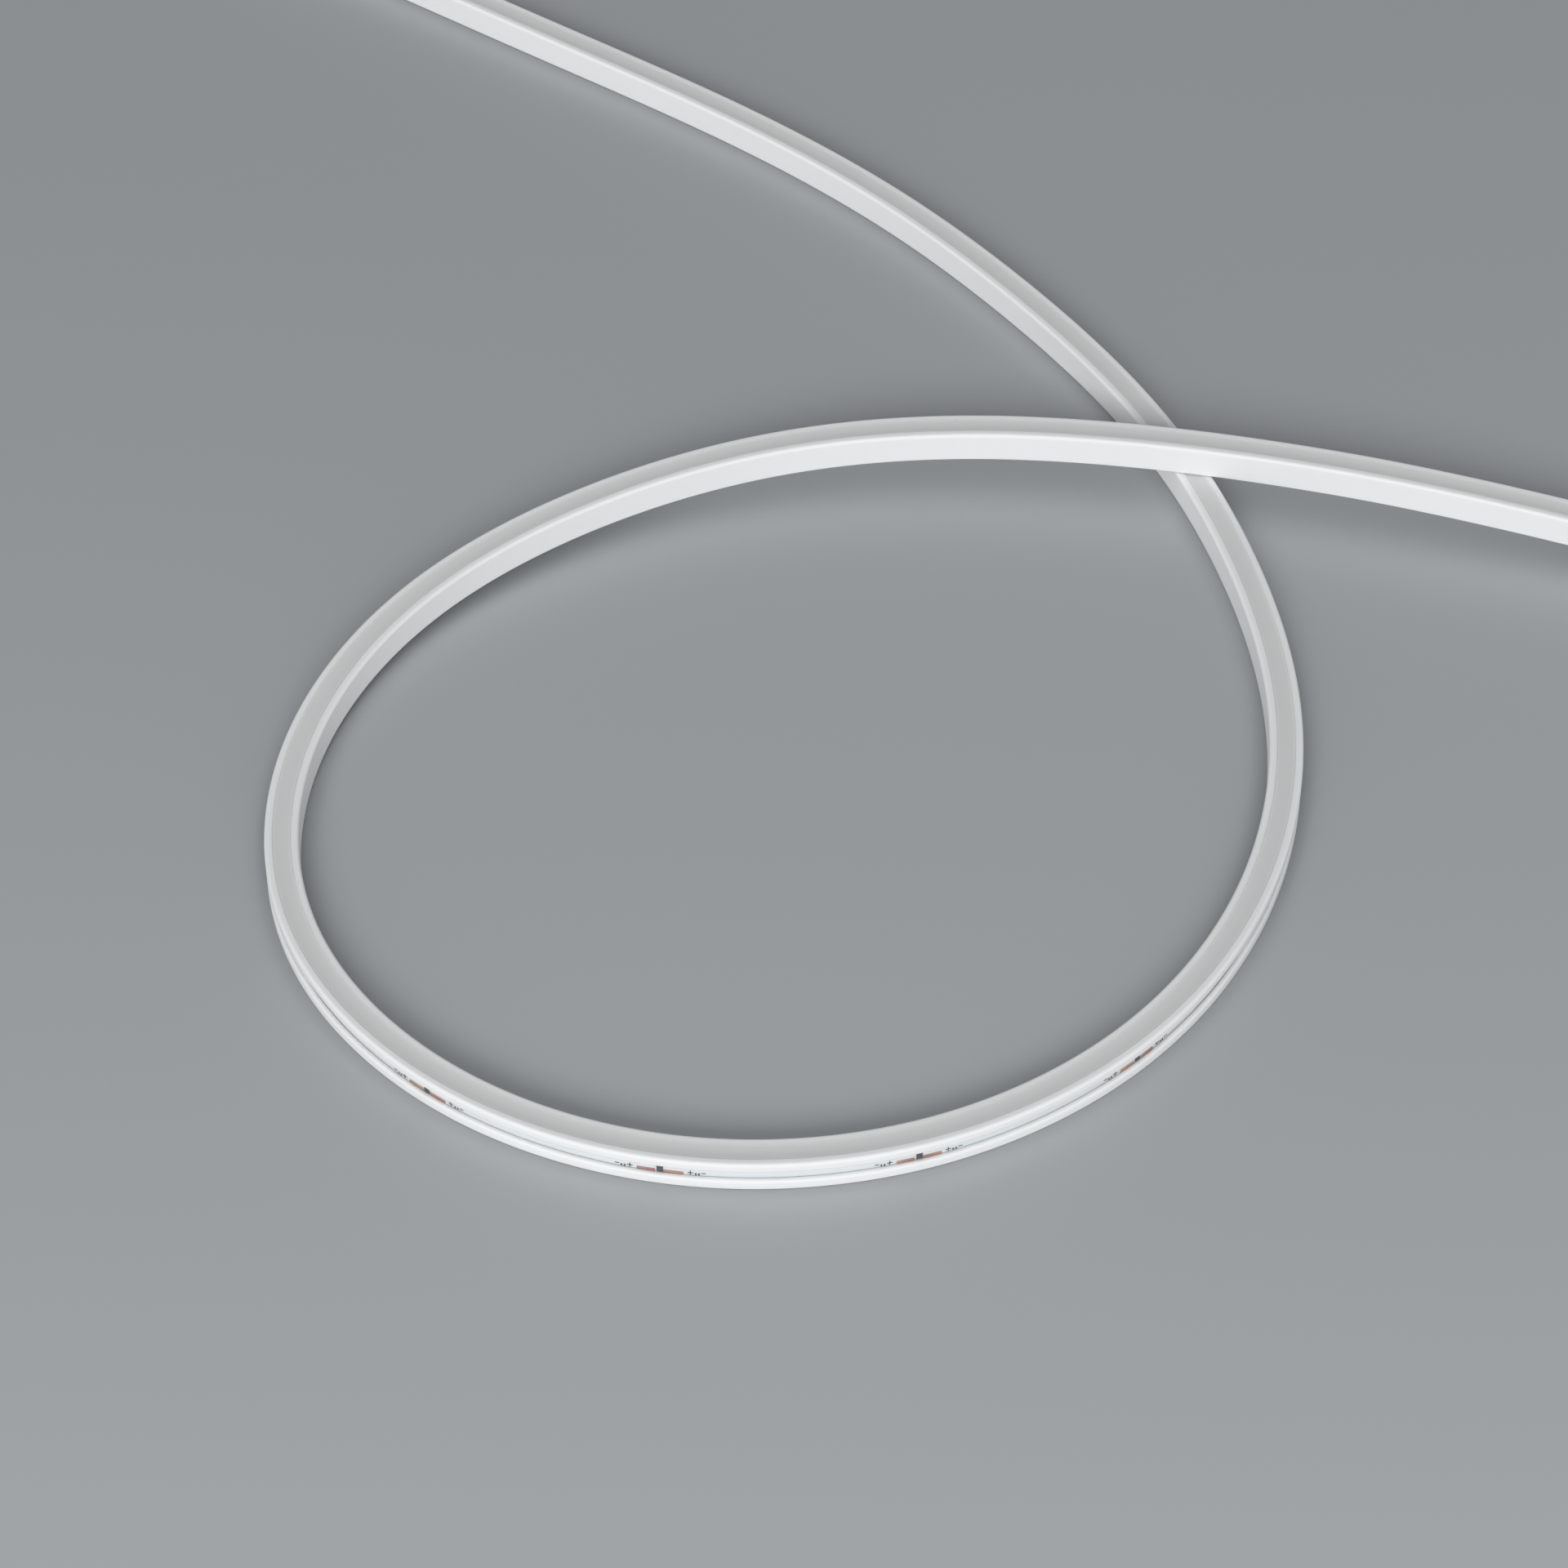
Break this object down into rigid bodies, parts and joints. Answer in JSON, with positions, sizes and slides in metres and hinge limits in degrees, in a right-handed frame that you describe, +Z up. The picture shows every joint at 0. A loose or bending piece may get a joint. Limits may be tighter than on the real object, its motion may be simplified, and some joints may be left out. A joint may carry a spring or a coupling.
{
  "type": "flexible led neon strip",
  "caption": "Flexible white silicone LED strip with a milky light band on top and a clear side window over its circuit board, laid in one open loop that crosses itself.",
  "frame": {"origin": "middle of the strip's plan box, at the level of the surface that it lies on", "axes": "+Z up, +X to the right and +Y away from the viewer, as the strip lies in the picture"},
  "size_m": [0.6264, 0.6014, 0.0203],
  "materials": {
    "white_silicone": "satin",
    "milky_silicone": "satin",
    "clear_silicone": "smooth",
    "circuit_board": "satin",
    "end_caps": "satin",
    "copper": "satin",
    "black_print": "matte"
  },
  "bodies": {
    "root": {"white_body": "white_silicone", "outer_rim": "white_silicone", "milky_core": "milky_silicone", "clear_window": "clear_silicone", "led_circuit_board": "circuit_board", "feed_end_cap": "end_caps", "plain_end_cap": "end_caps", "copper_pads_01": "copper", "copper_pads_02": "copper", "copper_pads_03": "copper", "copper_pads_04": "copper", "copper_pads_05": "copper", "copper_pads_06": "copper", "copper_pads_07": "copper", "copper_pads_08": "copper", "copper_pads_09": "copper", "copper_pads_10": "copper", "copper_pads_11": "copper", "copper_pads_12": "copper", "copper_pads_13": "copper", "copper_pads_14": "copper", "copper_pads_15": "copper", "copper_pads_16": "copper", "copper_pads_17": "copper", "copper_pads_18": "copper", "copper_pads_19": "copper", "copper_pads_20": "copper", "copper_pads_21": "copper", "copper_pads_22": "copper", "copper_pads_23": "copper", "cut_mark_01": "black_print", "cut_mark_02": "black_print", "cut_mark_03": "black_print", "cut_mark_04": "black_print", "cut_mark_05": "black_print", "cut_mark_06": "black_print", "cut_mark_07": "black_print", "cut_mark_08": "black_print", "cut_mark_09": "black_print", "cut_mark_10": "black_print", "cut_mark_11": "black_print", "cut_mark_12": "black_print", "cut_mark_13": "black_print", "cut_mark_14": "black_print", "cut_mark_15": "black_print", "cut_mark_16": "black_print", "cut_mark_17": "black_print", "cut_mark_18": "black_print", "cut_mark_19": "black_print", "cut_mark_20": "black_print", "cut_mark_21": "black_print", "cut_mark_22": "black_print", "cut_mark_23": "black_print"}
  },
  "joints": []
}
